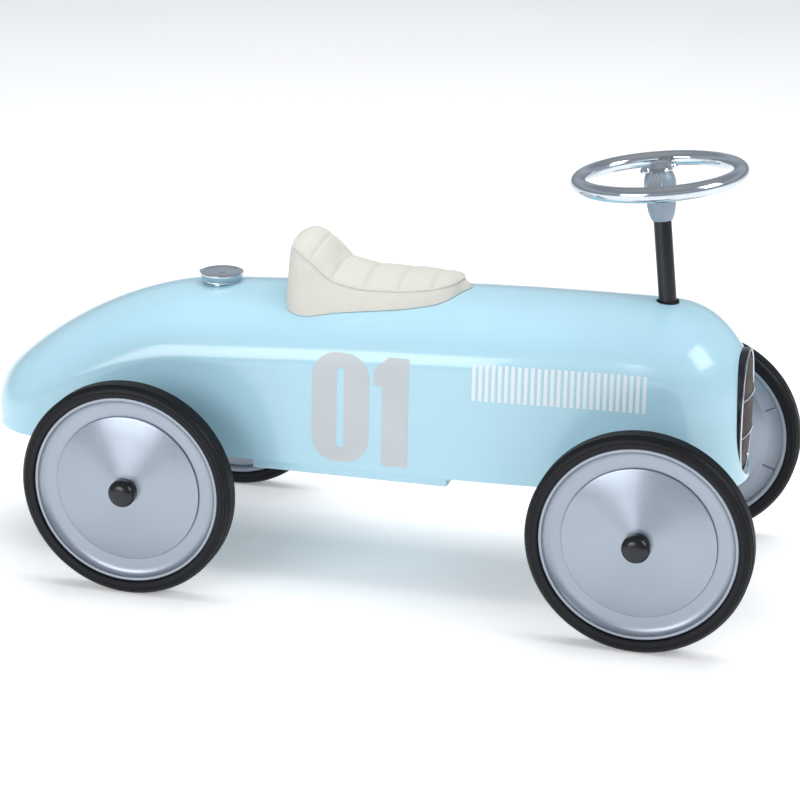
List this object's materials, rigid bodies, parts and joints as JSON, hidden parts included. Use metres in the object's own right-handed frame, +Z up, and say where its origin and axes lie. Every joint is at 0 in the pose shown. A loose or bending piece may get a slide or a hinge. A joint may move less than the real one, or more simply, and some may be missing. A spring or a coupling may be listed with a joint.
{
  "type": "ride-on race car",
  "caption": "Foot-to-floor ride-on racing car with a pressed steel body, padded seat, steered front wheels, chrome steering wheel and oval grille.",
  "frame": {"origin": "On the ground, midway between the tail and the front of the tyres, on the centre plane.", "axes": "X forward, Y to the car's left, Z up."},
  "size_m": [0.7499, 0.3484, 0.402],
  "materials": {
    "body_paint": "gloss light blue enamel",
    "seat_vinyl": "cream leather-look vinyl, stitched",
    "tyre_rubber": "smooth black rubber with fine ribs",
    "rim_silver": "satin silver lacquer",
    "spun_metal": "spun, satin",
    "black_plastic": "satin moulded",
    "grommet_rubber": "matt",
    "chrome": "polished plating",
    "hub_grey": "satin grey, fluted",
    "grille_wire": "woven wire",
    "silver_foil": "thin silver-grey foil",
    "housing_black": "gloss black",
    "zinc_steel": "zinc plated",
    "seat_board": "moulded plywood",
    "black_paint": "satin black enamel"
  },
  "bodies": {
    "chassis": {"body_shell": "body_paint", "floor_pan": "body_paint", "rail_left": "black_paint", "rail_right": "black_paint", "front_cross_plate": "black_paint", "rear_cross_plate": "black_paint", "hood_brace": "black_paint", "seat_base": "seat_board", "seat_cushion": "seat_vinyl", "seat_studs": "zinc_steel", "filler_neck": "chrome", "grille_housing": "housing_black", "grille_mesh": "grille_wire", "grille_trim": "chrome", "grille_bars": "chrome", "louvre_foils": "silver_foil", "number_foils": "silver_foil", "column_grommet": "grommet_rubber", "upper_column_bearing": "black_plastic", "lower_column_bearing": "black_plastic", "pan_screws": "zinc_steel", "frame_bolts": "zinc_steel", "rear_axle": "zinc_steel", "rear_axle_spacers": "black_paint", "axle_bracket_left": "black_paint", "axle_bracket_right": "black_paint", "rear_hub_nuts": "black_plastic", "front_beam": "black_paint", "kingpins": "zinc_steel"},
    "cap": {"filler_cap": "chrome"},
    "steering": {"steering_column": "black_paint", "steering_ring": "chrome", "steering_hub": "hub_grey", "hub_screw": "zinc_steel", "drop_arm": "black_paint"},
    "tie_bar": {"tie_rod": "zinc_steel"},
    "left_knuckle": {"knuckle_left": "black_paint", "stub_axle_left": "zinc_steel", "front_hub_nut_left": "black_plastic"},
    "right_knuckle": {"knuckle_right": "black_paint", "stub_axle_right": "zinc_steel", "front_hub_nut_right": "black_plastic"},
    "front_left_wheel": {"front_left_tyre": "tyre_rubber", "front_left_rim": "rim_silver", "front_left_disc": "spun_metal", "front_left_bush": "black_plastic"},
    "front_right_wheel": {"front_right_tyre": "tyre_rubber", "front_right_rim": "rim_silver", "front_right_disc": "spun_metal", "front_right_bush": "black_plastic"},
    "rear_left_wheel": {"rear_left_tyre": "tyre_rubber", "rear_left_rim": "rim_silver", "rear_left_disc": "spun_metal", "rear_left_bush": "black_plastic"},
    "rear_right_wheel": {"rear_right_tyre": "tyre_rubber", "rear_right_rim": "rim_silver", "rear_right_disc": "spun_metal", "rear_right_bush": "black_plastic"}
  },
  "joints": [
    {"name": "cap_turn", "type": "hinge", "parent": "chassis", "child": "cap", "pos_m": [-0.155, 0, 0.26], "axis": [0, 0, 1], "range_deg": [0, 90]},
    {"name": "steering_turn", "type": "hinge", "parent": "chassis", "child": "steering", "pos_m": [0.2545, 0, 0.3875], "axis": [-0.1045, 0, 0.9945], "range_deg": [-25, 25]},
    {"name": "left_kingpin", "type": "hinge", "parent": "chassis", "child": "left_knuckle", "pos_m": [0.275, 0.108, 0.1], "axis": [0, 0, 1], "range_deg": [-25, 25]},
    {"name": "right_kingpin", "type": "hinge", "parent": "chassis", "child": "right_knuckle", "pos_m": [0.275, -0.108, 0.1], "axis": [0, 0, 1], "range_deg": [-25, 25]},
    {"name": "tie_rod_shift", "type": "slide", "parent": "chassis", "child": "tie_bar", "axis": [0, -1, 0], "range_m": [-0.0192, 0.0192]},
    {"name": "front_left_spin", "type": "hinge", "parent": "left_knuckle", "child": "front_left_wheel", "pos_m": [0.275, 0.15, 0.1], "axis": [0, 1, 0], "continuous": true},
    {"name": "front_right_spin", "type": "hinge", "parent": "right_knuckle", "child": "front_right_wheel", "pos_m": [0.275, -0.15, 0.1], "axis": [0, 1, 0], "continuous": true},
    {"name": "rear_left_spin", "type": "hinge", "parent": "chassis", "child": "rear_left_wheel", "pos_m": [-0.195, 0.15, 0.1], "axis": [0, 1, 0], "continuous": true},
    {"name": "rear_right_spin", "type": "hinge", "parent": "chassis", "child": "rear_right_wheel", "pos_m": [-0.195, -0.15, 0.1], "axis": [0, 1, 0], "continuous": true}
  ],
  "couplings": [
    {"joint": "left_kingpin", "follows": "steering_turn", "ratio": 1},
    {"joint": "right_kingpin", "follows": "steering_turn", "ratio": 1},
    {"joint": "tie_rod_shift", "follows": "steering_turn", "m_per_rad": 0.043586}
  ]
}
